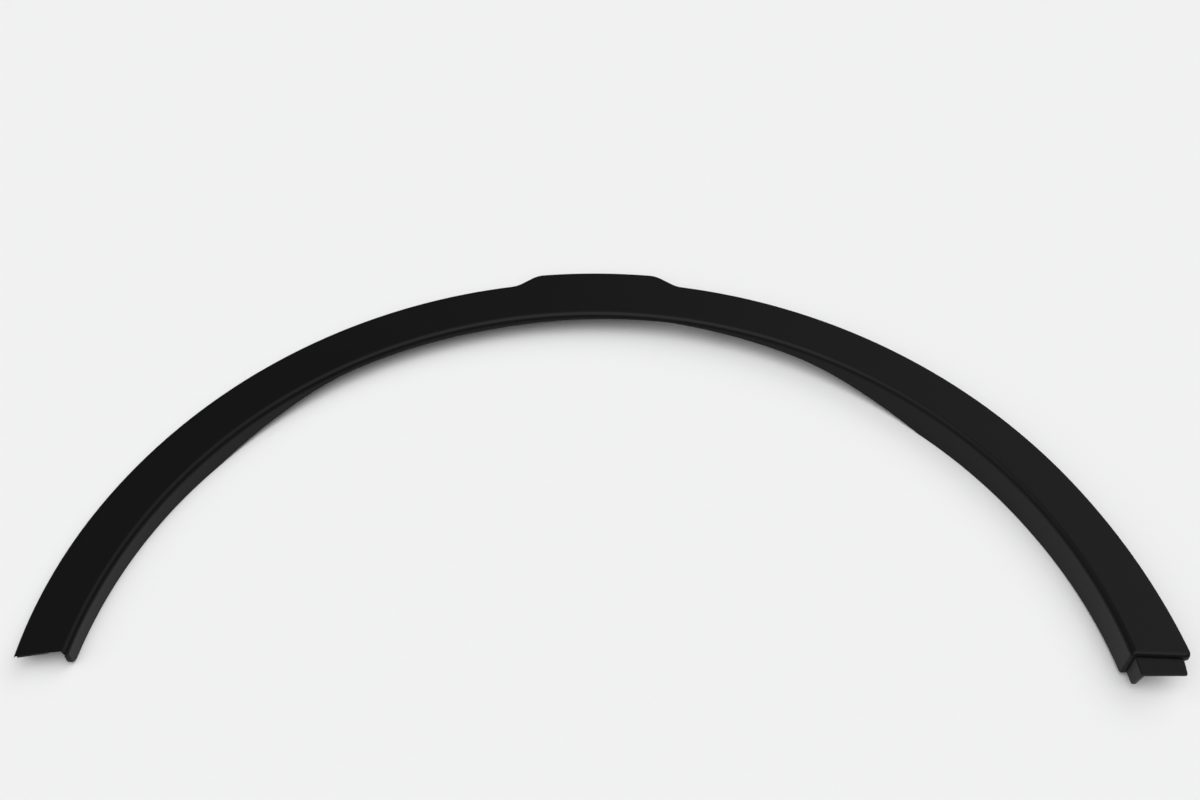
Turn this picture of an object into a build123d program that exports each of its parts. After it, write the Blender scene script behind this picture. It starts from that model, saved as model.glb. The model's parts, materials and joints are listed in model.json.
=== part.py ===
import os
from math import cos, hypot, radians, sqrt, tan
from build123d import *

# Wheel arch trim: one moulding, lying face up on the free edge of its flange.
# Sizes in millimetres and degrees. The wheel's axis is the middle of the arch while it is drawn.

# The arch
outer_radius = 440.0
face_width = 40.1
skin = 2.8
crease_round = 4.8
flange_lean = 2.0

# The plain end: the outer edge runs in there on a tighter arc, the face is cut on the slant,
# and the flange runs on a little
left_end_height = 63.7
left_end_slant = 5.9
left_flange_reach = 3.0
left_step_round = 1.2
run_in_angle = 26.0
run_in_radius = 398.0

# The end with the tongue: the outer edge runs out there on a wider arc
end_height = 60.2
right_corner_round = 4.0
run_out_angle = 30.0
run_out_radius = 507.0

# How it lies: the face over the floor at the crown, and its slope from one end to the other
face_height = 26.4
face_slope = 0.98

# Bump on the outer edge at the crown
bump_proud = 10.0
bump_top_width = 104.0
bump_base_width = 140.0
bump_round = 9.0

# Free edge of the flange, seen from the front: places along the chord and depths there below the crown
left_foot_end = -300.0
left_shoulder = -218.0
left_shoulder_depth = 12.4
crown_start = -95.0
crown_start_depth = 9.8
crown_peak = 60.0
crown_peak_depth = 4.1
right_shoulder = 186.0
right_shoulder_depth = 9.1
right_foot_end = 272.0
right_rise_start = 190.0
right_rise = 3.0
sweep_round = 320.0
foot_end_round = 60.0
kink_round = 8.0
foot_corner_round = 6.0
foot_corner_ease = 0.15

# Tongue that slips under the neighbouring trim
tongue_length = 14.9
tongue_drop = 4.0
tongue_setback = 3.1
tongue_corner_round = 0.8
tongue_rise = 7.5
tongue_foot_setback = 3.8
tongue_foot_round = 4.0

# Edges
edge_round = 2.0
foot_edge_round = 0.9

# Clip seats on the back, in pairs about the crown
seat_angles = (16.0, 48.0, 78.0)
seat_levels = (13.0, 9.0, 6.0)
seat_radius = 4.0
seat_throat = 5.4
seat_plate = 2.2
seat_length = 24.0
seat_width = 20.0
seat_wall = 2.0
seat_corner_round = 2.5

# Gussets between face and flange, and the rib behind the plain end
gusset_angles = (55.5, 63.0, 70.5)
gusset_leg = 11.0
gusset_wall = 1.8
end_rib_length = 24.0
end_rib_height = 2.2
end_rib_wall = 1.8

# Sizes that follow
crease_radius = outer_radius - face_width
bump_radius = outer_radius + bump_proud
lean = tan(radians(flange_lean))
slant = tan(radians(left_end_slant))
flange_reach = 2 * face_height
spread = 2 * outer_radius
left_middle = -sqrt((crease_radius + face_width / 2) ** 2 - left_end_height**2)
left_flange_back = -sqrt((crease_radius + skin) ** 2 - left_end_height**2)
left_crease_height = left_end_height + (left_flange_back - left_middle) * slant
left_flange_end = left_crease_height - left_flange_reach
tongue_end = end_height - tongue_length
seat_ring = crease_radius + (face_width + skin) / 2
least_round = skin / 8


def rounded_corner(shape, corner, radius):
    """Rounds one corner of a flat outline."""
    return fillet(shape.vertices().sort_by_distance(corner)[:1], radius)


def skin_band(inset, thickness):
    """Half ring with the trim's L-shaped section, set in from the visible side."""
    face_level = -inset
    back_level = -inset - thickness
    front = crease_radius + inset / cos(radians(flange_lean))
    back = crease_radius + (inset + thickness) / cos(radians(flange_lean))
    crease = (front + lean * face_level, face_level)
    inner_corner = (back + lean * back_level, back_level)
    outline = make_face(
        Polyline(
            (bump_radius + face_width, face_level),
            crease,
            (front - lean * flange_reach, -flange_reach),
            (back - lean * flange_reach, -flange_reach),
            inner_corner,
            (bump_radius + face_width, back_level),
            close=True,
        )
    )
    outline = rounded_corner(outline, crease, max(crease_round - inset, least_round))
    outline = rounded_corner(outline, inner_corner, max(crease_round - inset - thickness, least_round))
    return revolve(Plane.XZ * outline, axis=Axis.Z, revolution_arc=180)


def run_out():
    """Field under the wider arc that the outer edge follows to the right end."""
    turn = Rot(0, 0, run_out_angle)
    wide = turn * Pos(outer_radius - run_out_radius, 0) * Circle(run_out_radius)
    return wide & turn * Rectangle(spread, spread, align=(Align.MIN, Align.MAX))


def run_in():
    """Field outside the tighter arc that the outer edge follows to the plain end."""
    turn = Rot(0, 0, 180 - run_in_angle)
    tight = turn * Pos(outer_radius - run_in_radius, 0) * Circle(run_in_radius)
    return turn * Rectangle(spread, spread, align=(Align.MIN, Align.MIN)) - tight


def bump_outline():
    """Outer edge of the trim: the arch's circle with the raised length at the crown."""
    top_half = bump_top_width / 2
    base_half = bump_base_width / 2
    top_level = sqrt(bump_radius**2 - top_half**2)
    base_level = sqrt(outer_radius**2 - base_half**2)
    root_half = base_half + (base_half - top_half) / 3
    root_level = base_level - (top_level - base_level) / 3
    crest = ThreePointArc((-top_half, top_level), (0, bump_radius), (top_half, top_level))
    ramps = Polyline(
        (top_half, top_level), (root_half, root_level), (-root_half, root_level), (-top_half, top_level)
    )
    outline = Circle(outer_radius) + make_face([crest, ramps]) + run_out() - run_in()
    corners = [v for v in outline.vertices() if v.Y > base_level - skin and abs(v.X) > top_half - skin]
    return fillet(corners, bump_round)


def trimmed_outline():
    """The outline cut off at both ends, level on the right and on the slant on the left."""
    step = (left_flange_back, left_crease_height)
    keep = make_face(
        Polyline(
            (-spread, left_end_height + (-spread - left_middle) * slant),
            step,
            (left_flange_back, left_flange_end),
            (0, left_flange_end),
            (0, end_height),
            (spread, end_height),
            (spread, spread),
            (-spread, spread),
            close=True,
        )
    )
    outline = bump_outline() & rounded_corner(keep, step, left_step_round)
    return rounded_corner(outline, (outer_radius, end_height), right_corner_round)


def lying(shape):
    """Moves a shape from the face's own level to where the trim lies on the floor."""
    return Pos(0, 0, face_height) * Rot(0, -face_slope, 0) * shape


def under_free_edge():
    """What lies below the flange's free edge: floor at both ends, raised over the crown."""
    points = [
        (-spread, 0),
        (left_foot_end, 0),
        (left_shoulder, face_height - left_shoulder_depth),
        (crown_start, face_height - crown_start_depth),
        (crown_peak, face_height - crown_peak_depth),
        (right_shoulder, face_height - right_shoulder_depth),
        (right_foot_end, 0),
        (spread, 0),
    ]
    region = make_face(Polyline(*points, (spread, -spread), (-spread, -spread), close=True))
    region = rounded_corner(region, points[1], foot_end_round)
    for corner in points[2:6]:
        region = rounded_corner(region, corner, sweep_round)
    region = rounded_corner(region, points[6], kink_round)
    return extrude(Plane.XZ * region, amount=-spread)


def under_end(end, foot_setback, rise, start, start_rise, corner_round):
    """What lies below the flange near an end, drawn from the side with the lower corner rounded off."""
    top_corner = (end - foot_corner_ease, face_height)
    corner = (top_corner[0] + foot_setback, rise)
    region = make_face(
        Polyline(
            (start, start_rise),
            corner,
            top_corner,
            (end - spread, face_height),
            (end - spread, -spread),
            (start, -spread),
            close=True,
        )
    )
    return extrude(Plane.YZ * rounded_corner(region, corner, corner_round), amount=spread)


def end_slab(low, high):
    """Slab across the right end of the arch, between two heights over the wheel's axis."""
    corner = (Align.MIN, Align.MIN, Align.MIN)
    return Pos(0, low, -spread / 2) * Box(spread, high - low, spread, align=corner)


def end_chain(shell, place):
    """Visible edges of the end of the trim that lies nearest to a place."""
    upright = shell.faces().filter_by(lambda face: abs(face.normal_at().Z) < least_round)
    edges = upright.sort_by_distance(place)[0].edges()
    top = edges.sort_by(Axis.Z)[-1]
    side = edges.sort_by_distance((0, place[1], place[2]))[0]
    return [top, side, edges.sort_by_distance(place)[0]]


def foot_edges(shell, waste):
    """Long edges of the flange's free edge, on its visible side."""
    chosen = []
    for edge in shell.edges().filter_by(lambda edge: edge.length > 2 * skin):
        middle = edge @ 0.5
        depth = face_height + middle.X * tan(radians(face_slope)) - middle.Z
        wall = crease_radius + skin / 2 - lean * depth
        if hypot(middle.X, middle.Y) < wall and waste.distance_to(Vertex(middle)) < least_round:
            chosen.append(edge)
    return chosen


def face_and_flange():
    """Face and flange with the step to the tongue, before the tongue itself."""
    envelope = extrude(trimmed_outline(), amount=flange_reach, both=True)
    step = skin_band(0, skin + tongue_drop) & envelope & end_slab(end_height, end_height + skin)
    shell = (skin_band(0, skin) & envelope) + step
    rim = [
        edge
        for edge in shell.edges().filter_by_position(Axis.Z, -least_round, least_round)
        if hypot((edge @ 0.5).X, (edge @ 0.5).Y) > outer_radius - right_corner_round
    ]
    right_crease = (sqrt(crease_radius**2 - end_height**2), end_height, 0)
    shell = fillet(rim + end_chain(shell, right_crease), edge_round)
    right_foot = under_end(end_height, 0, right_rise, right_rise_start, 0, foot_corner_round)
    left_start = left_flange_end + 2 * foot_corner_round
    left_foot = mirror(under_end(left_flange_end, 0, 0, left_start, 0, foot_corner_round), Plane.YZ)
    waste = under_free_edge() + right_foot + left_foot
    shell = lying(shell) - waste
    return fillet(foot_edges(shell, waste), foot_edge_round)


def tongue_solid():
    """Tongue at the right end, set back from the face, with a shorter flange."""
    tongue_radius = outer_radius - tongue_setback
    strip = Rectangle(spread, tongue_length + skin, align=(Align.MIN, Align.MIN))
    plan = Circle(tongue_radius) & Pos(0, tongue_end) * strip
    plan = rounded_corner(plan, (sqrt(tongue_radius**2 - tongue_end**2), tongue_end), tongue_corner_round)
    band = skin_band(tongue_drop, skin) & extrude(plan, amount=flange_reach, both=True)
    start = end_height + 2 * skin
    waste = under_end(tongue_end, tongue_foot_setback, tongue_rise, start, tongue_rise, tongue_foot_round)
    return lying(band) - waste


def clip_seats():
    """Moulded clip seats behind the face: open boxes whose floor has a keyhole for a push-in clip."""
    block = extrude(RectangleRounded(seat_length, seat_width, seat_corner_round), amount=flange_reach)
    room = Box(
        seat_length, seat_width - 2 * seat_wall, flange_reach, align=(Align.CENTER, Align.CENTER, Align.MIN)
    )
    throat = Box(seat_length, seat_throat, seat_plate, align=(Align.MIN, Align.CENTER, Align.MIN))
    hole = Cylinder(seat_radius, seat_plate, align=(Align.CENTER, Align.CENTER, Align.MIN))
    seat = block - Pos(seat_wall, 0, seat_plate) * room - throat - hole
    seats = []
    for angle, level in zip(seat_angles, seat_levels):
        place = Rot(0, 0, -angle) * Pos(0, seat_ring, level)
        seats.append(place * mirror(seat, Plane.YZ))
        seats.append(mirror(place * mirror(seat, Plane.YZ), Plane.YZ))
    behind = Box(2 * spread, 2 * spread, spread, align=(Align.CENTER, Align.CENTER, Align.MAX))
    behind = lying(Pos(0, 0, -skin / 2) * behind)
    return [seat & behind for seat in seats]


def gussets():
    """Three-cornered webs that stiffen the flange where it is deep."""
    root = crease_radius + skin / 2
    web = make_face(
        Polyline(
            (root, -skin / 2),
            (root + gusset_leg, -skin / 2),
            (root - lean * gusset_leg, -skin / 2 - gusset_leg),
            close=True,
        )
    )
    web = extrude(Plane.XZ * web, amount=gusset_wall / 2, both=True)
    webs = []
    for angle in gusset_angles:
        webs.append(lying(Rot(0, 0, 90 - angle) * web))
        webs.append(lying(Rot(0, 0, 90 + angle) * web))
    return webs


def end_rib():
    """Low rib behind the plain end, from the outer edge inwards."""
    rib_depth = end_rib_height + skin / 2
    rib = Box(end_rib_length, end_rib_wall, rib_depth, align=(Align.MIN, Align.MIN, Align.MAX))
    rib = Pos(edge_round - face_width / 2, 0, -skin / 2) * rib
    return lying(Pos(left_middle, left_end_height, 0) * Rot(0, 0, left_end_slant) * rib)


trim = face_and_flange() + tongue_solid() + clip_seats() + gussets() + end_rib()
box = trim.bounding_box()
trim = Pos(-box.center().X, -box.center().Y, -box.min.Z) * trim

os.makedirs("parts", exist_ok=True)
export_step(trim.solid(), "parts/wheel_arch_trim.step")
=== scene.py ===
import json
from collections import namedtuple
from math import acos, asin, atan, atan2, cos, degrees, hypot, pi, radians, sin, sqrt, tan

import bpy
from mathutils import Matrix, Vector


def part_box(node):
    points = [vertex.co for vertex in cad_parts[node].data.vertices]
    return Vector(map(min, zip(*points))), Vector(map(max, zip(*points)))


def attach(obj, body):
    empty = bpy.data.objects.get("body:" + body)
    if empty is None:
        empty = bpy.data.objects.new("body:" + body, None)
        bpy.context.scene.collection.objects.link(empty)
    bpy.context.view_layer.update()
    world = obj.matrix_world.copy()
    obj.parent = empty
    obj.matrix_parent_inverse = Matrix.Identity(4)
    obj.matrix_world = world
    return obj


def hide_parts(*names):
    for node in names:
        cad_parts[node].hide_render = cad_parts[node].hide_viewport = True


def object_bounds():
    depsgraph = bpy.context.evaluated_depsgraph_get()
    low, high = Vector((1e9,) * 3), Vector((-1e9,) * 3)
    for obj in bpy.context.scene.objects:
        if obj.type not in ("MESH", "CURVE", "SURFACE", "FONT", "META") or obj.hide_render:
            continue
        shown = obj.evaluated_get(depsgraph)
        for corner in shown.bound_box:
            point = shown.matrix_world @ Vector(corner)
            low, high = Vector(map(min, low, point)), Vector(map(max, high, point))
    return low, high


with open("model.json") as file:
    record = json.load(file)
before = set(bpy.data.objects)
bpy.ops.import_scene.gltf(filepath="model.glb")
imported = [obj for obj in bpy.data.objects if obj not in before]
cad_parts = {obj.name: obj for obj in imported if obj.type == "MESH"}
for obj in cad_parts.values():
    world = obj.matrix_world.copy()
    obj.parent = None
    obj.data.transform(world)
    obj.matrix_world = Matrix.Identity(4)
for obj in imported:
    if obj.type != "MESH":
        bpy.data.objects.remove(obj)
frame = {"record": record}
cad_low, cad_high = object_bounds()

# The trim is drawn in millimetres and degrees, with the wheel's axis as the middle of the arch
MM = 0.001
OUTER_RADIUS = 440.0
FACE_WIDTH = 40.1
SKIN = 2.8
CREASE_ROUND = 4.8
FLANGE_LEAN = tan(radians(3.2))
FLANGE_DEPTH = 34.0
EDGE_ROUND = 2.0
SOFT_EDGE = 0.4
FOOT_EDGE_ROUND = 0.9
FACE_HEIGHT = 26.4
FACE_SLOPE = radians(0.98)

# The plain end: its outer edge runs in, its face is cut on the slant and undercut, and its flange runs on
LEFT_END_HEIGHT = 62.6
LEFT_END_SLANT = tan(radians(9.5))
LEFT_FLANGE_REACH = 3.5
LEFT_FLANGE_EASE = 8.0
LEFT_FOOT_ROUND = 9.0
LEFT_UNDERCUT = 1.6
UNDERCUT_EASE = 6.0
RUN_IN_ANGLE = 26.0
RUN_IN_RADIUS = 398.0

# The end with the tongue, where the outer edge runs out on a wider arc
END_HEIGHT = 60.2
END_SLANT = tan(radians(3.0))
END_EDGE_ROUND = 3.8
RIGHT_CORNER_REACH = 4.85
RUN_OUT_ANGLE = 30.0
RUN_OUT_RADIUS = 507.0

# Bump on the outer edge at the crown
BUMP_PROUD = 10.0
BUMP_TOP_HALF = 52.0
BUMP_BASE_HALF = 70.0
BUMP_EASE = 5.0
BUMP_PASSES = 4

# Free edge of the flange, seen from the front: place along the chord, height over the floor, rounding
FREE_EDGE = (
    (-309.0, 0.0, 60.0),
    (-222.0, 15.4, 240.0),
    (-95.0, 16.6, 320.0),
    (60.0, 22.3, 320.0),
    (186.0, 17.3, 320.0),
    (270.0, 0.0, 3.0),
    (OUTER_RADIUS, 0.0, 0.0),
)
RIGHT_RISE = 3.0
RIGHT_RISE_START = 190.0
RIGHT_FOOT_ROUND = 4.0

# Tongue that slips under the neighbouring trim
TONGUE_LENGTH = 14.9
TONGUE_DROP = 4.0
TONGUE_SETBACK = 3.1
TONGUE_RISE = 7.5
TONGUE_FLARE = 1.8
TONGUE_FLANGE_SHIFT = 1.2
TONGUE_FOOT_SETBACK = 3.8
TONGUE_FOOT_ROUND = 4.0
TONGUE_TURN = 2.4
TONGUE_STEPS = 40
TONGUE_STEP_GROWTH = 1.5

# Clip seats, gussets and end rib on the back
SEAT_ANGLES = (16.0, 48.0, 78.0)
SEAT_LEVELS = (13.0, 9.0, 6.0)
SEAT_RADIUS = 4.0
SEAT_THROAT = 5.4
SEAT_PLATE = 2.2
SEAT_LENGTH = 24.0
SEAT_WIDTH = 20.0
SEAT_WALL = 2.0
SEAT_CORNER_ROUND = 2.5
SEAT_CORNER_STEPS = 5
SEAT_HOLE_SIDES = 48
GUSSET_ANGLES = (55.5, 63.0, 70.5)
GUSSET_LEG = 11.0
GUSSET_WALL = 1.8
RIB_LENGTH = 22.5
RIB_INSET = 3.5
RIB_WALL = 1.8
RIB_HEIGHT = 2.2
RIB_SETBACK = 1.65

# Sizes that follow
CREASE_RADIUS = OUTER_RADIUS - FACE_WIDTH
MIDDLE_RADIUS = OUTER_RADIUS - FACE_WIDTH / 2
LEFT_MIDDLE = -sqrt(MIDDLE_RADIUS**2 - LEFT_END_HEIGHT**2)
LEFT_CREASE = -sqrt(CREASE_RADIUS**2 - LEFT_END_HEIGHT**2)
LEFT_CREASE_HEIGHT = LEFT_END_HEIGHT + (LEFT_CREASE - LEFT_MIDDLE) * LEFT_END_SLANT
LEFT_FLANGE_END = LEFT_CREASE_HEIGHT - LEFT_FLANGE_REACH
TONGUE_END = END_HEIGHT - TONGUE_LENGTH
TONGUE_RADIUS = OUTER_RADIUS - TONGUE_SETBACK
SEAT_RING = CREASE_RADIUS + (FACE_WIDTH + SKIN) / 2
SEAT_CUT_DEPTH = 3 * SEAT_PLATE

# Width of the rows that hold the flat face and wall beside each rounding, and a distance that counts as none
HOLD = 0.5
CLOSE = 0.01

# Steps of the section's roundings, and the shares of a low back wall's height that its two rows may take
CREASE_STEPS = 12
EDGE_STEPS = 8
FOOT_EDGE_STEPS = 5
INNER_CREASE_STEPS = 4
FOOT_ROW_SHARE = 0.6
TOP_ROW_SHARE = 0.2
SMOOTH_ANGLE = radians(30)

# Turns of the section round the wheel's axis, from the right end: degrees, and steps in each
RIGHT_START = degrees(asin(END_HEIGHT / MIDDLE_RADIUS))
LEFT_STOP = 180.0 - degrees(asin(LEFT_END_HEIGHT / MIDDLE_RADIUS))
EDGE_TURN = 0.4
CORNER_TURN = 2.4
CROWN_TURN = 24.0
SIDE_TURN = 90.0 - CROWN_TURN / 2 - CORNER_TURN - EDGE_TURN
EDGE_TURN_STEPS = 12
CORNER_TURN_STEPS = 24
SIDE_TURN_STEPS = 170
CROWN_TURN_STEPS = 260
TURNS = (
    (EDGE_TURN, EDGE_TURN_STEPS),
    (CORNER_TURN, CORNER_TURN_STEPS),
    (SIDE_TURN - RIGHT_START, SIDE_TURN_STEPS),
    (CROWN_TURN, CROWN_TURN_STEPS),
    (LEFT_STOP - 180.0 + SIDE_TURN, SIDE_TURN_STEPS),
    (CORNER_TURN, CORNER_TURN_STEPS),
    (EDGE_TURN, EDGE_TURN_STEPS),
)

# Degrees from an end over which columns lean to its cut, and over which a moved point comes to keep its angle
END_EASE = 9.0
TRUE_TURN_START = 20.0
TRUE_TURN_EASE = 30.0

# A band of skin: how far it is set in from the visible side, its outer edge and its roundings
Band = namedtuple("Band", "name inset outer crease_round edge_round")
FACE_BAND = Band("trim_moulding", 0.0, OUTER_RADIUS, CREASE_ROUND, EDGE_ROUND)
TONGUE_BAND = Band("tongue", TONGUE_DROP, TONGUE_RADIUS, CREASE_ROUND - TONGUE_DROP, SOFT_EDGE)


def pick(test):
    """In edit mode, selects the points whose place passes a test."""
    bpy.ops.mesh.select_mode(type="VERT")
    bpy.ops.mesh.select_all(action="DESELECT")
    bpy.ops.object.mode_set(mode="OBJECT")
    for vertex in bpy.context.object.data.vertices:
        vertex.select = test(vertex.co)
    bpy.ops.object.mode_set(mode="EDIT")


def at(*corners):
    """Test for a point that lies on one of some corners."""
    return lambda place: any((place - Vector(corner)).length < CLOSE for corner in corners)


def wall_radius(band, height):
    """Radius of the flange's visible side, without the crease's rounding, at a height from the face."""
    return CREASE_RADIUS + band.inset + FLANGE_LEAN * (height + band.inset)


def wall_top(band):
    """Depth below the face at which the flange is a plain wall on both sides."""
    return band.inset + max(band.crease_round, SKIN)


def draw_section(band):
    """L-shaped section of a band of skin, drawn flat where its turn round the wheel's axis starts."""
    top = -band.inset
    foot = -FLANGE_DEPTH
    inner = wall_radius(band, top)
    foot_front = wall_radius(band, foot)
    square = inner + SKIN / 2, 0, top - SKIN / 2
    bpy.ops.object.select_all(action="DESELECT")
    bpy.ops.mesh.primitive_plane_add(size=SKIN, location=square, rotation=(pi / 2, 0, 0))
    piece = bpy.context.object
    piece.name = band.name
    bpy.ops.object.transform_apply(location=True, rotation=True, scale=True)
    bpy.ops.object.mode_set(mode="EDIT")
    pick(lambda place: place.x > square[0])
    reach = band.outer - inner - SKIN
    bpy.ops.mesh.extrude_region_move(TRANSFORM_OT_translate={"value": (reach, 0, 0)})
    pick(lambda place: place.x < inner + SKIN + CLOSE and place.z < square[2])
    drop = foot_front - inner, 0, foot - top + SKIN
    bpy.ops.mesh.extrude_region_move(TRANSFORM_OT_translate={"value": drop})
    bpy.ops.mesh.select_all(action="SELECT")
    bpy.ops.mesh.dissolve_faces()
    pick(at((inner + SKIN, 0, top), (inner, 0, top - SKIN)))
    bpy.ops.mesh.dissolve_verts()
    roundings = [
        ((inner, 0, top), band.crease_round, CREASE_STEPS),
        ((band.outer, 0, top), band.edge_round, EDGE_STEPS),
        ((foot_front, 0, foot), FOOT_EDGE_ROUND, FOOT_EDGE_STEPS),
    ]
    if band.crease_round > SKIN:
        roundings.append(((inner + SKIN, 0, top - SKIN), band.crease_round - SKIN, INNER_CREASE_STEPS))
    for corner, radius, steps in roundings:
        pick(at(corner))
        bpy.ops.mesh.bevel(offset=radius, segments=steps, affect="VERTICES", clamp_overlap=False)
    crease = Vector((inner + band.crease_round + HOLD, 0, -wall_top(band) - HOLD))
    rim = Vector((band.outer - RIGHT_CORNER_REACH, 0, foot + FOOT_EDGE_ROUND + HOLD))
    for place in (crease, rim):
        for axis in ((1, 0, 0), (0, 0, 1)):
            bpy.ops.mesh.select_all(action="SELECT")
            bpy.ops.mesh.bisect(plane_co=place, plane_no=axis)
    bpy.ops.mesh.select_all(action="SELECT")
    return piece


def turn_band(band, turns):
    """Turns a band's section round the wheel's axis, step by step."""
    piece = draw_section(band)
    for angle, steps in turns:
        bpy.ops.mesh.spin(steps=steps, angle=-radians(angle), center=(0, 0, 0), axis=(0, 0, 1))
    bpy.ops.mesh.select_all(action="SELECT")
    bpy.ops.mesh.normals_make_consistent(inside=False)
    bpy.ops.object.mode_set(mode="OBJECT")
    return piece


def share_of(value):
    """A value held between 0 and 1."""
    return min(max(value, 0.0), 1.0)


def fade(distance, ease):
    """1 at the start of a distance and 0 past its end, eased."""
    return max(1 - distance / ease, 0.0) ** 2


def soft_ramp(reach, ease):
    """Nothing below zero and the reach itself above it, with the kink eased."""
    if abs(reach) < ease:
        return (reach + ease) ** 2 / (4 * ease)
    return max(reach, 0.0)


def round_over(distance, radius):
    """How far a rounded edge has fallen away, at a distance from where the sharp one would be."""
    short = max(radius - max(distance, 0.0), 0.0)
    return radius - sqrt(radius**2 - short**2)


def free_edge(along):
    """Height of the flange's free edge over the floor, at a place along the chord."""
    height = 0.0
    slope = 0.0
    for (place, level, rounding), (next_place, next_level, _) in zip(FREE_EDGE, FREE_EDGE[1:]):
        next_slope = (next_level - level) / (next_place - place)
        ease = rounding * tan(abs(atan(next_slope) - atan(slope)) / 2)
        height += (next_slope - slope) * soft_ramp(along - place, ease)
        slope = next_slope
    return height


def foot_height(along, upward):
    """Height of the flange's foot: the free edge, raised and rounded off towards the ends."""
    if along < 0:
        return max(free_edge(along), round_over(upward - LEFT_FLANGE_END, LEFT_FOOT_ROUND))
    rise = RIGHT_RISE * share_of((RIGHT_RISE_START - upward) / (RIGHT_RISE_START - END_HEIGHT))
    return max(free_edge(along), rise + round_over(upward - END_HEIGHT, RIGHT_FOOT_ROUND))


def on_arc(off, radius):
    """Radius of the outer edge on an arc of another radius, at an angle past where it leaves the arch."""
    middle = OUTER_RADIUS - radius
    off = radians(off)
    return middle * cos(off) + sqrt(radius**2 - (middle * sin(off)) ** 2)


def outer_edge(turn):
    """Radius of the outer edge: the arch's circle, its run-out and run-in at the ends, and the bump."""
    if turn < RUN_OUT_ANGLE:
        return on_arc(RUN_OUT_ANGLE - turn, RUN_OUT_RADIUS)
    if turn > 180 - RUN_IN_ANGLE:
        return on_arc(turn - 180 + RUN_IN_ANGLE, RUN_IN_RADIUS)
    radius = OUTER_RADIUS
    for _ in range(BUMP_PASSES):
        along = abs(radius * cos(radians(turn)))
        climb = soft_ramp(BUMP_BASE_HALF - along, BUMP_EASE) - soft_ramp(BUMP_TOP_HALF - along, BUMP_EASE)
        radius = OUTER_RADIUS + BUMP_PROUD * climb / (BUMP_BASE_HALF - BUMP_TOP_HALF)
    return radius


def near_flange(radius, ease):
    """0 on the face and 1 at the flange, eased over a way from the flange outwards."""
    share = share_of((CREASE_RADIUS + ease - radius) / ease)
    return share**2 * (3 - 2 * share)


def left_end(radius, wall):
    """Where the plain end stops: on the slant across the face, a little further on the flange."""
    if wall:
        return LEFT_FLANGE_END
    along = -sqrt(radius**2 - LEFT_END_HEIGHT**2)
    cut = LEFT_END_HEIGHT + (along - LEFT_MIDDLE) * LEFT_END_SLANT
    return cut - LEFT_FLANGE_REACH * near_flange(radius, LEFT_FLANGE_EASE)


def right_end(radius):
    """Where the face stops above the tongue, a little slanted from the crease outwards."""
    along = sqrt(max(radius, CREASE_RADIUS) ** 2 - END_HEIGHT**2)
    return END_HEIGHT - (along - sqrt(CREASE_RADIUS**2 - END_HEIGHT**2)) * END_SLANT


def leaned(turn, radius, wall):
    """Angle of a point of a column, with the last columns leaned to lie along the cut."""
    right = fade(turn - RIGHT_START, END_EASE)
    left = fade(LEFT_STOP - turn, END_EASE)
    right_cut = degrees(asin(right_end(radius) / radius))
    left_cut = 180 - degrees(asin(left_end(radius, wall) / radius))
    return turn + (right_cut - RIGHT_START) * right + (left_cut - LEFT_STOP) * left


def lying(radius, upward, height, side):
    """Point of the trim as it lies: the face sloped along the chord and lifted off the floor."""
    along = side * sqrt(max(radius**2 - upward**2, 0.0))
    level = FACE_HEIGHT + along * sin(FACE_SLOPE) + height * cos(FACE_SLOPE)
    return Vector((along * cos(FACE_SLOPE) - height * sin(FACE_SLOPE), upward, max(level, 0.0)))


def on_crease(band, radius, height, depth, share):
    """Point of the crease's rounding, moved into the skin and drawn together to a share of its turn."""
    middle = CREASE_RADIUS + band.inset + band.crease_round
    lowest = -band.inset - band.crease_round
    across = middle - radius
    upright = height - lowest
    turn = atan2(across, upright) * share
    reach = hypot(across, upright) - depth
    return middle - reach * sin(turn), lowest + reach * cos(turn)


def on_wall(band, radius, height, drop, depth):
    """Point of the flange's visible wall, with the foot's rows slid down to its free edge."""
    crease_end = min(wall_top(band), drop - FOOT_EDGE_ROUND - 2 * HOLD)
    up = height + FLANGE_DEPTH
    across = radius - wall_radius(band, height)
    below = drop - up if up < FOOT_EDGE_ROUND + HOLD + CLOSE else crease_end + HOLD / 2
    inside = depth + across * (SKIN - depth) / SKIN
    return wall_radius(band, -below) + round_over(below - band.inset, band.crease_round) + inside, -below


def behind_wall(band, radius, height, drop):
    """Point of the flange's back wall, between the inner corner and the free edge."""
    room = drop - wall_top(band)
    up = height + FLANGE_DEPTH
    across = radius - wall_radius(band, height)
    if up < CLOSE:
        below = drop
    elif up < FOOT_EDGE_ROUND + HOLD + CLOSE:
        below = drop - min(FOOT_EDGE_ROUND + HOLD, room * FOOT_ROW_SHARE)
    else:
        below = wall_top(band) + min(HOLD, room * TOP_ROW_SHARE)
    return wall_radius(band, -below) + across, -below


def crease_share(drop):
    """Share of the crease's turn that is left above a shallow foot."""
    reach = min((drop - FOOT_EDGE_ROUND - 2 * HOLD) / CREASE_ROUND, 1.0)
    return acos(1 - reach) / (pi / 2)


def round_corner(radius, upward, rim, to_end):
    """Draws the points near the right end's outer corner in to its rounding."""
    out = RIGHT_CORNER_REACH - rim
    on = RIGHT_CORNER_REACH - to_end
    if min(out, on) <= 0:
        return radius, upward
    share = 1 - max(out, on) / hypot(out, on)
    return radius - out * share, upward + on * share


def end_round(side, radius):
    """Rounding of an end's edge: rolled over on the right face, almost sharp on the left one."""
    on_face = END_EDGE_ROUND if side > 0 else SOFT_EDGE
    return on_face + (EDGE_ROUND - on_face) * near_flange(radius, CREASE_ROUND)


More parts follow.
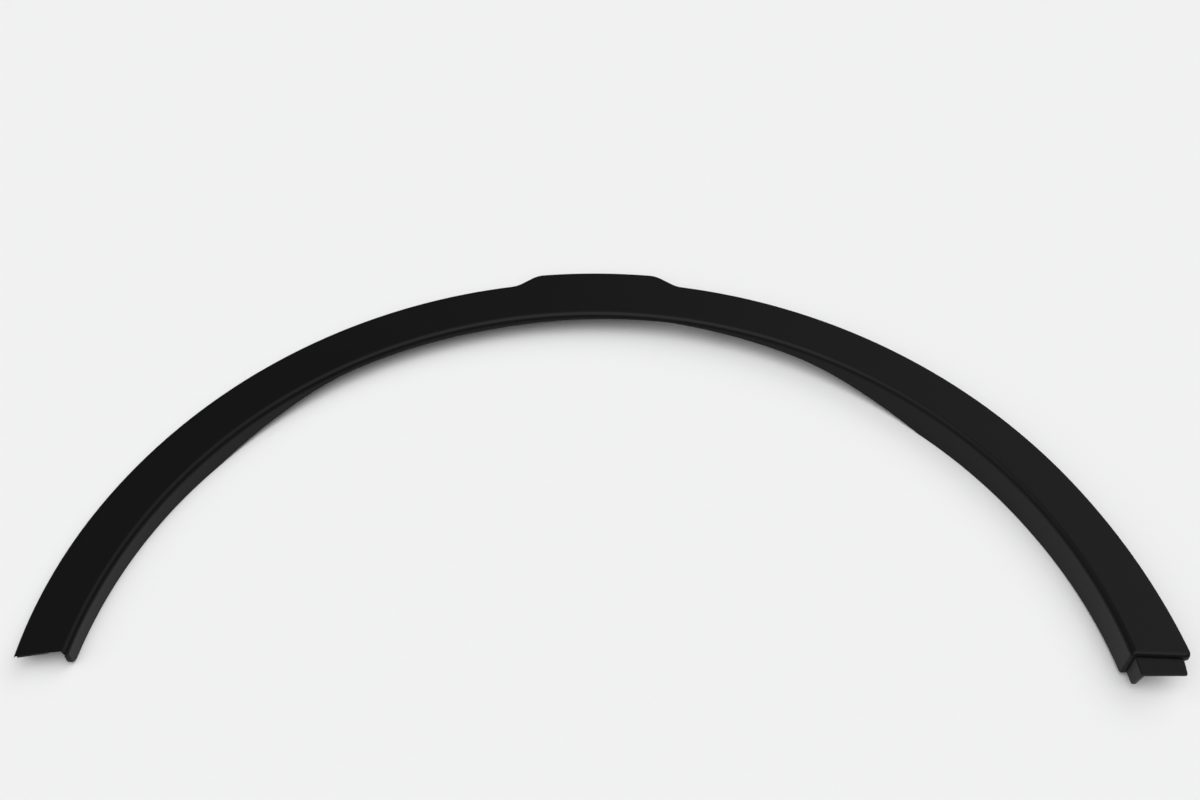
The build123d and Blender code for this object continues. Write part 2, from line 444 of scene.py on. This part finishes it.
def edge_fall(rim, to_end, end_edge):
    """How far the face has fallen away at its outer edge and right end, one rounding led into the other."""
    out = RIGHT_CORNER_REACH - rim
    on = RIGHT_CORNER_REACH - to_end
    if min(out, on) <= 0:
        return max(round_over(rim, EDGE_ROUND), round_over(to_end, end_edge))
    share = atan2(on, out) / (pi / 2)
    return round_over(min(rim, to_end), EDGE_ROUND + (end_edge - EDGE_ROUND) * share)


def behind_tongue(radius, height, wall):
    """Point of the back at the right end, stepped over the tongue's skin so that the two melt together."""
    under = height > -SKIN - CLOSE
    inner_corner = CREASE_RADIUS + CREASE_ROUND + TONGUE_DROP + HOLD
    radius = max(radius, inner_corner) if under else radius + TONGUE_DROP + CLOSE
    return radius, height - (0.0 if wall else TONGUE_DROP + CLOSE)


def face_point(turn, radius, height):
    """Point of face and flange, from its place on the turned section."""
    band = FACE_BAND
    back = height < -SKIN + CLOSE and radius - wall_radius(band, height) > SKIN - CLOSE
    wall = height < -wall_top(band) - CLOSE
    rim = OUTER_RADIUS - radius
    if rim < RIGHT_CORNER_REACH + CLOSE:
        radius = outer_edge(leaned(turn, radius, wall)) - rim
    upward = radius * sin(radians(leaned(turn, radius, wall)))
    side = 1 if turn < 90 else -1
    to_end = upward - (right_end(radius) if side > 0 else left_end(radius, wall))
    end_edge = end_round(side, radius)
    depth = round_over(to_end, end_edge)
    fall = edge_fall(rim, to_end, end_edge) if side > 0 else max(round_over(rim, EDGE_ROUND), depth)
    if side > 0:
        radius, upward = round_corner(radius, upward, rim, to_end)
    first_radius = radius
    level = lying(radius, upward, 0.0, side)
    drop = (level.z - foot_height(level.x, upward)) / cos(FACE_SLOPE)
    if wall and back:
        radius, height = behind_wall(band, radius, height, drop)
    elif wall:
        radius, height = on_wall(band, radius, height, drop, depth)
    elif not back and radius > CREASE_RADIUS + CREASE_ROUND - CLOSE:
        height = -fall
    elif not back:
        radius, height = on_crease(band, radius, height, depth, crease_share(drop))
    if back and side > 0 and to_end < SKIN:
        radius, height = behind_tongue(radius, height, wall)
    if back and side < 0 and not wall:
        undercut = LEFT_UNDERCUT * (1 - near_flange(radius, LEFT_FLANGE_EASE))
        upward += undercut * fade(to_end, UNDERCUT_EASE)
    true_turn = share_of((min(turn, 180 - turn) - TRUE_TURN_START) / TRUE_TURN_EASE)
    upward += upward * (radius / first_radius - 1) * true_turn
    return lying(radius, upward, height, side)


def tongue_point(turn, radius, height):
    """Point of the tongue, from its place on the turned section."""
    band = TONGUE_BAND
    rim = band.outer - radius
    back = height < -band.inset - SKIN + CLOSE and radius - wall_radius(band, height) > SKIN - CLOSE
    share = share_of(turn / TONGUE_TURN)
    to_end = share**TONGUE_STEP_GROWTH * (TONGUE_LENGTH + SKIN / 2)
    upward = TONGUE_END + to_end
    depth = round_over(to_end, SOFT_EDGE)
    if height < -wall_top(band) - CLOSE:
        foot = TONGUE_RISE + round_over(to_end, TONGUE_FOOT_ROUND)
        drop = (lying(radius, upward, 0.0, 1).z - foot) / cos(FACE_SLOPE)
        if back:
            radius, height = behind_wall(band, radius, height, drop)
        else:
            radius, height = on_wall(band, radius, height, drop, depth)
        low = (FACE_HEIGHT - lying(radius, upward, height, 1).z) / (FACE_HEIGHT - TONGUE_RISE)
        upward += TONGUE_FOOT_SETBACK * max(low, 0.0) * (1 - share) ** 2
    elif not back and radius > CREASE_RADIUS + band.inset + band.crease_round - CLOSE:
        height = -band.inset - max(round_over(rim, band.edge_round), depth)
    elif not back:
        radius, height = on_crease(band, radius, height, depth, 1.0)
    near_rim = rim < RIGHT_CORNER_REACH + CLOSE
    radius += TONGUE_FLARE * share if near_rim else -TONGUE_FLANGE_SHIFT
    return lying(radius, upward, height, 1)


def shape(piece, start, point):
    """Moves each point of a turned band to its true place."""
    for vertex in piece.data.vertices:
        turn = start + degrees(atan2(vertex.co.y, vertex.co.x))
        vertex.co = point(turn, hypot(vertex.co.x, vertex.co.y), vertex.co.z)


def only(*pieces):
    """Selects some pieces alone, the first of them active."""
    bpy.ops.object.select_all(action="DESELECT")
    for piece in pieces:
        piece.select_set(True)
    bpy.context.view_layer.objects.active = pieces[0]


def block(name, size, place):
    """Box at its size and place."""
    bpy.ops.object.select_all(action="DESELECT")
    bpy.ops.mesh.primitive_cube_add(size=1, location=place, scale=size)
    bpy.ops.object.transform_apply(location=True, rotation=True, scale=True)
    bpy.context.object.name = name
    return bpy.context.object


def combine(piece, other, operation):
    """Cuts another piece out of a piece, or melts it in, and removes the other."""
    joiner = piece.modifiers.new(operation.lower(), "BOOLEAN")
    joiner.operation = operation
    joiner.solver = "EXACT"
    joiner.object = other
    only(piece)
    bpy.ops.object.modifier_apply(modifier=joiner.name)
    bpy.data.objects.remove(other)


def clip_seat():
    """Moulded seat: an open box with a keyhole in its floor for a push-in clip."""
    seat = block("clip_seat", (SEAT_LENGTH, SEAT_WIDTH, FLANGE_DEPTH), (0, 0, FLANGE_DEPTH / 2))
    bpy.ops.object.mode_set(mode="EDIT")
    bpy.ops.mesh.select_mode(type="EDGE")
    bpy.ops.mesh.select_all(action="DESELECT")
    bpy.ops.object.mode_set(mode="OBJECT")
    points = seat.data.vertices
    for edge in seat.data.edges:
        low, high = (points[index].co.z for index in edge.vertices)
        edge.select = abs(high - low) > SEAT_PLATE
    bpy.ops.object.mode_set(mode="EDIT")
    bpy.ops.mesh.bevel(offset=SEAT_CORNER_ROUND, segments=SEAT_CORNER_STEPS, affect="EDGES")
    bpy.ops.object.mode_set(mode="OBJECT")
    room = SEAT_LENGTH, SEAT_WIDTH - 2 * SEAT_WALL, FLANGE_DEPTH
    combine(seat, block("room", room, (SEAT_WALL, 0, SEAT_PLATE + FLANGE_DEPTH / 2)), "DIFFERENCE")
    throat = SEAT_LENGTH, SEAT_THROAT, SEAT_CUT_DEPTH
    combine(seat, block("throat", throat, (SEAT_LENGTH / 2, 0, 0)), "DIFFERENCE")
    bpy.ops.object.select_all(action="DESELECT")
    bpy.ops.mesh.primitive_cylinder_add(vertices=SEAT_HOLE_SIDES, radius=SEAT_RADIUS, depth=SEAT_CUT_DEPTH)
    combine(seat, bpy.context.object, "DIFFERENCE")
    return seat


def copy_of(piece, name, matrix):
    """A copy with a mesh of its own, set in place."""
    copy = bpy.data.objects.new(name, piece.data.copy())
    bpy.context.scene.collection.objects.link(copy)
    copy.data.transform(matrix)
    return copy


def clip_seats():
    """Three pairs of clip seats behind the face, their open sides towards the crown."""
    seat = clip_seat()
    seats = []
    for angle, level in zip(SEAT_ANGLES, SEAT_LEVELS):
        for place, turn in ((angle, 180 - angle), (-angle, angle)):
            along = SEAT_RING * sin(radians(place))
            upward = SEAT_RING * cos(radians(place))
            matrix = Matrix.Translation((along, upward, level)) @ Matrix.Rotation(radians(turn), 4, "Z")
            copy = copy_of(seat, "clip_seat_copy", matrix)
            for vertex in copy.data.vertices:
                if vertex.co.z > level + SEAT_PLATE + CLOSE:
                    vertex.co.z = FACE_HEIGHT + vertex.co.x * tan(FACE_SLOPE) - SKIN / 2
            seats.append(copy)
    bpy.data.objects.remove(seat)
    return seats


def as_it_lies():
    """Turns and lifts a shape drawn against the level face to where the trim lies."""
    return Matrix.Translation((0, 0, FACE_HEIGHT)) @ Matrix.Rotation(-FACE_SLOPE, 4, "Y")


def gussets():
    """Three-cornered webs that stiffen the flange where it is deep."""
    root = CREASE_RADIUS + SKIN / 2
    middle = root + GUSSET_LEG / 2, 0, -SKIN / 2 - GUSSET_LEG / 2
    web = block("gusset", (GUSSET_LEG, GUSSET_WALL, GUSSET_LEG), middle)
    bpy.ops.object.mode_set(mode="EDIT")
    pick(lambda place: place.x > middle[0] and place.z < middle[2])
    bpy.ops.transform.translate(value=(-GUSSET_LEG, 0, 0))
    bpy.ops.mesh.select_all(action="SELECT")
    bpy.ops.mesh.remove_doubles(threshold=CLOSE)
    bpy.ops.object.mode_set(mode="OBJECT")
    webs = []
    for angle in GUSSET_ANGLES:
        for turn in (90 - angle, 90 + angle):
            matrix = as_it_lies() @ Matrix.Rotation(radians(turn), 4, "Z")
            webs.append(copy_of(web, "gusset_copy", matrix))
    bpy.data.objects.remove(web)
    return webs


def end_rib():
    """Low rib behind the plain end, along the cut, from near the outer edge inwards."""
    height = RIB_HEIGHT + SKIN / 2
    inwards = RIB_INSET - FACE_WIDTH / 2 + RIB_LENGTH / 2
    middle = inwards, RIB_SETBACK + RIB_WALL / 2, -SKIN / 2 - height / 2
    rib = block("end_rib", (RIB_LENGTH, RIB_WALL, height), middle)
    turn = Matrix.Rotation(atan(LEFT_END_SLANT), 4, "Z")
    rib.data.transform(as_it_lies() @ Matrix.Translation((LEFT_MIDDLE, LEFT_END_HEIGHT, 0)) @ turn)
    return rib


def mould_trim():
    """The whole moulding: face and flange, tongue, and the seats, gussets and rib on the back."""
    trim = turn_band(FACE_BAND, TURNS)
    shape(trim, RIGHT_START, face_point)
    tongue = turn_band(TONGUE_BAND, ((TONGUE_TURN, TONGUE_STEPS),))
    shape(tongue, 0.0, tongue_point)
    additions = [tongue, end_rib()] + clip_seats() + gussets()
    only(*additions)
    bpy.ops.object.join()
    combine(trim, tongue, "UNION")
    mount = next(item for item in frame["record"]["mounts"] if item["name"] == "crown_clip_seats")
    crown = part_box("wheel_arch_trim")[1][1]
    axis = Vector((mount["pos_m"][0], crown - (OUTER_RADIUS + BUMP_PROUD) * MM, 0))
    trim.data.transform(Matrix.Translation(axis) @ Matrix.Scale(MM, 4))
    for vertex in trim.data.vertices:
        vertex.co = [min(max(place, low), high) for place, low, high in zip(vertex.co, cad_low, cad_high)]
    only(trim)
    bpy.ops.object.shade_smooth_by_angle(angle=SMOOTH_ANGLE)
    return trim


# The camera: where it stands in metres, how it looks down, turns and rolls, and its lens on a 36 mm frame
CAMERA_PLACE = Vector((-0.05154, -0.83817, 1.120))
CAMERA_DOWN = radians(50.67)
CAMERA_TURN = radians(3.17)
CAMERA_ROLL = radians(3.17)
CAMERA_LENS = 51.0
CAMERA_FRAME = 36.0
CAMERA_REACH = 100.0

# The plastic: its colour from dark to light, its grain and slow clouds, and its shine
PLASTIC_DARK = (0.0040, 0.0040, 0.0041, 1)
PLASTIC_LIGHT = (0.0066, 0.0066, 0.0068, 1)
GRAIN_SCALE = 1400.0
GRAIN_DETAIL = 2.0
GRAIN_STRENGTH = 0.10
GRAIN_DEPTH = 0.0002
GRAIN_COLOUR = 0.6
GRAIN_ROUGH = 0.05
CLOUD_SCALE = 24.0
CLOUD_DETAIL = 3.0
CLOUD_COLOUR = 0.4
CLOUD_ROUGH = 0.06
PLASTIC_ROUGH = 0.32
PLASTIC_SHINE = 0.11

# The floor: a wide pale sheet with a faint mottle
FLOOR_RADIUS = 6.0
FLOOR_SIDES = 128
FLOOR_COLOUR = (0.86, 0.862, 0.865)
FLOOR_SHADE = 0.985
MOTTLE_SCALE = 260.0
MOTTLE_DETAIL = 2.0
FLOOR_ROUGH = 0.9
FLOOR_SHINE = 0.1

# The light: soft panels by strength, degrees round from the back and up, degrees to full light and to the rim
Panel = namedtuple("Panel", "strength way_round up full rim")
PANELS = (
    Panel(2.60, 180.0, 65.0, 12.0, 38.0),
    Panel(0.70, 90.0, 65.0, 12.0, 38.0),
    Panel(0.75, 245.0, 62.0, 12.0, 36.0),
    Panel(0.45, 248.0, 40.0, 15.0, 50.0),
    Panel(1.05, 40.0, 50.0, 8.0, 35.0),
)


class Socket:
    """A node's output with Python arithmetic: each operation adds one Math node."""

    def __init__(self, tree, output):
        self.tree = tree
        self.output = output

    def math(self, operation, first, second):
        return node(self.tree, "ShaderNodeMath", {"operation": operation}, {0: first, 1: second})

    def __add__(self, other):
        return self.math("ADD", self, other)

    def __radd__(self, other):
        return self.math("ADD", other, self)

    def __mul__(self, other):
        return self.math("MULTIPLY", self, other)

    def __rmul__(self, other):
        return self.math("MULTIPLY", other, self)

    def between(self, low, high):
        """0 below the low value and 1 above the high one, eased between them."""
        settings = {"interpolation_type": "SMOOTHSTEP"}
        return node(self.tree, "ShaderNodeMapRange", settings, {0: self, 1: low, 2: high})


def node(tree, kind, settings=None, inputs=None, out=0):
    """Adds a node, sets it, feeds its sockets and gives back one of its outputs, if it has any."""
    new = tree.nodes.new(kind)
    for name, value in (settings or {}).items():
        setattr(new, name, value)
    for name, value in (inputs or {}).items():
        if isinstance(value, Socket):
            tree.links.new(value.output, new.inputs[name])
        else:
            new.inputs[name].default_value = value
    return Socket(tree, new.outputs[out]) if new.outputs else None


def mix_colour(tree, factor, first, second):
    """One colour into another by a factor: a Mix node's colour sockets are 6 and 7, its colour output 2."""
    return node(tree, "ShaderNodeMix", {"data_type": "RGBA"}, {0: factor, 6: first, 7: second}, 2)


def empty_tree(owner):
    """The node tree of a material or a world, cleared."""
    owner.use_nodes = True
    owner.node_tree.nodes.clear()
    return owner.node_tree


def noise(tree, place, scale, detail):
    """Noise in space: its scale to the metre and its detail."""
    return node(tree, "ShaderNodeTexNoise", None, {"Vector": place, "Scale": scale, "Detail": detail})


def surface(tree, inputs):
    """The surface that a material ends in."""
    shader = node(tree, "ShaderNodeBsdfPrincipled", None, inputs)
    node(tree, "ShaderNodeOutputMaterial", None, {"Surface": shader})


def trim_plastic():
    """Satin black moulded plastic with a fine pebbled grain."""
    material = bpy.data.materials.new("trim_plastic")
    tree = empty_tree(material)
    place = node(tree, "ShaderNodeTexCoord", out="Object")
    grain = noise(tree, place, GRAIN_SCALE, GRAIN_DETAIL)
    cloud = noise(tree, place, CLOUD_SCALE, CLOUD_DETAIL)
    pebbles = {"Strength": GRAIN_STRENGTH, "Distance": GRAIN_DEPTH, "Height": grain}
    bump = node(tree, "ShaderNodeBump", None, pebbles)
    colour = mix_colour(tree, grain * GRAIN_COLOUR + cloud * CLOUD_COLOUR, PLASTIC_DARK, PLASTIC_LIGHT)
    rough = PLASTIC_ROUGH + cloud * CLOUD_ROUGH + grain * GRAIN_ROUGH
    shine = {"Roughness": rough, "Specular IOR Level": PLASTIC_SHINE}
    surface(tree, {"Base Color": colour, "Normal": bump, **shine})
    return material


def floor_sheet():
    """Plain pale sheet."""
    material = bpy.data.materials.new("floor_sheet")
    tree = empty_tree(material)
    place = node(tree, "ShaderNodeTexCoord", out="Object")
    mottle = noise(tree, place, MOTTLE_SCALE, MOTTLE_DETAIL)
    shade = tuple(FLOOR_SHADE * value for value in FLOOR_COLOUR) + (1,)
    colour = mix_colour(tree, mottle, shade, FLOOR_COLOUR + (1,))
    surface(tree, {"Base Color": colour, "Roughness": FLOOR_ROUGH, "Specular IOR Level": FLOOR_SHINE})
    return material


def lay_floor():
    """The floor that the trim lies on."""
    bpy.ops.object.select_all(action="DESELECT")
    bpy.ops.mesh.primitive_circle_add(vertices=FLOOR_SIDES, radius=FLOOR_RADIUS, fill_type="NGON")
    floor = bpy.context.object
    floor.name = "floor"
    floor.data.materials.append(floor_sheet())


def panel_light(axes, panel):
    """Light of one panel of the room in each direction."""
    way_round = radians(panel.way_round)
    up = radians(panel.up)
    middle = sin(way_round) * cos(up), cos(way_round) * cos(up), sin(up)
    facing = axes[0] * middle[0] + axes[1] * middle[1] + axes[2] * middle[2]
    return facing.between(cos(radians(panel.rim)), cos(radians(panel.full))) * panel.strength


def light_room():
    """Soft light from panels in front, behind and at both sides."""
    world = bpy.data.worlds.new("studio")
    bpy.context.scene.world = world
    tree = empty_tree(world)
    direction = node(tree, "ShaderNodeTexCoord", out="Generated")
    axes = [node(tree, "ShaderNodeSeparateXYZ", None, {0: direction}, axis) for axis in range(3)]
    strength = sum(panel_light(axes, panel) for panel in PANELS)
    light = node(tree, "ShaderNodeBackground", None, {"Color": (1, 1, 1, 1), "Strength": strength})
    node(tree, "ShaderNodeOutputWorld", None, {"Surface": light})


def set_camera():
    """The camera in front of the arch, looking down on it."""
    bpy.ops.object.camera_add()
    camera = bpy.context.object
    camera.name = "camera"
    level = Vector((cos(CAMERA_TURN), -sin(CAMERA_TURN), 0))
    ahead = Vector((sin(CAMERA_TURN), cos(CAMERA_TURN), 0))
    forward = ahead * cos(CAMERA_DOWN) - Vector((0, 0, sin(CAMERA_DOWN)))
    upright = level.cross(forward)
    right = cos(CAMERA_ROLL) * level + sin(CAMERA_ROLL) * upright
    up = cos(CAMERA_ROLL) * upright - sin(CAMERA_ROLL) * level
    turn = Matrix((right, up, -forward)).transposed().to_4x4()
    camera.matrix_world = Matrix.Translation(CAMERA_PLACE) @ turn
    camera.data.sensor_width = CAMERA_FRAME
    camera.data.lens = CAMERA_LENS
    camera.data.clip_end = CAMERA_REACH
    bpy.context.scene.camera = camera


trim = mould_trim()
trim.data.materials.append(trim_plastic())
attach(trim, "root")
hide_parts("wheel_arch_trim")
lay_floor()
light_room()
set_camera()

bpy.context.scene.view_settings.view_transform = "Standard"
